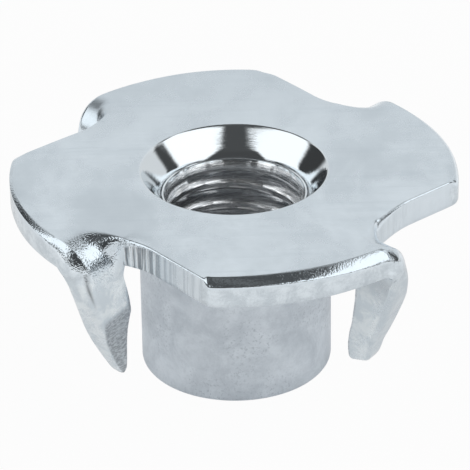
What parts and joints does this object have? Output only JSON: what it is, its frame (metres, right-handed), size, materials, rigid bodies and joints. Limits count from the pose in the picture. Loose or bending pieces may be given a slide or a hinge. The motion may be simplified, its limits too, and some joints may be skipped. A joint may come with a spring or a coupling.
{
  "type": "tee nut",
  "caption": "Pronged tee nut of zinc-plated steel: a threaded barrel under a flange with flared mouth, whose folded prongs bite into wood.",
  "frame": {"origin": "centre of the barrel's open end, on the surface that the part stands on", "axes": "+Z along the bore towards the flange's top face; the prongs stand on the diagonals between X and Y"},
  "size_m": [0.0228, 0.0228, 0.011],
  "materials": {
    "zinc_plated_steel": "satin zinc plate, a little cloudy, with rough sheared edges"
  },
  "bodies": {
    "root": {"tee_nut": "zinc_plated_steel"}
  },
  "joints": []
}
